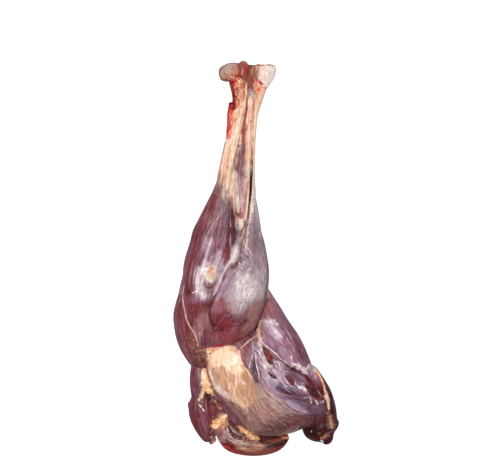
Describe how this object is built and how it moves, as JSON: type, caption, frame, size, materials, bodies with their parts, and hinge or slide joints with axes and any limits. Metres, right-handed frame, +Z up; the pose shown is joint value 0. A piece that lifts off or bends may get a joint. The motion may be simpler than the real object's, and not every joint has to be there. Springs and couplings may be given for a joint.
{
  "type": "raw ostrich leg, thigh and drumstick in one piece",
  "caption": "Skinned raw ostrich leg lying on its back: bare ankle knuckle, tendon-wrapped shank, full drumstick muscles and a fanned thigh with cut hip flap.",
  "frame": {"origin": "on the surface that the leg lies on, under the middle of its outline", "axes": "+Y along the leg towards the ankle, +X across it, +Z up, out of the side that shows"},
  "size_m": [0.2709, 0.65, 0.1294],
  "materials": {
    "flesh": "moist raw muscle under silverskin, with cream tendon and fat",
    "bone": "damp cartilage-capped bone"
  },
  "bodies": {
    "root": {"leg_flesh": "flesh", "shin_bone": "bone"}
  },
  "joints": []
}
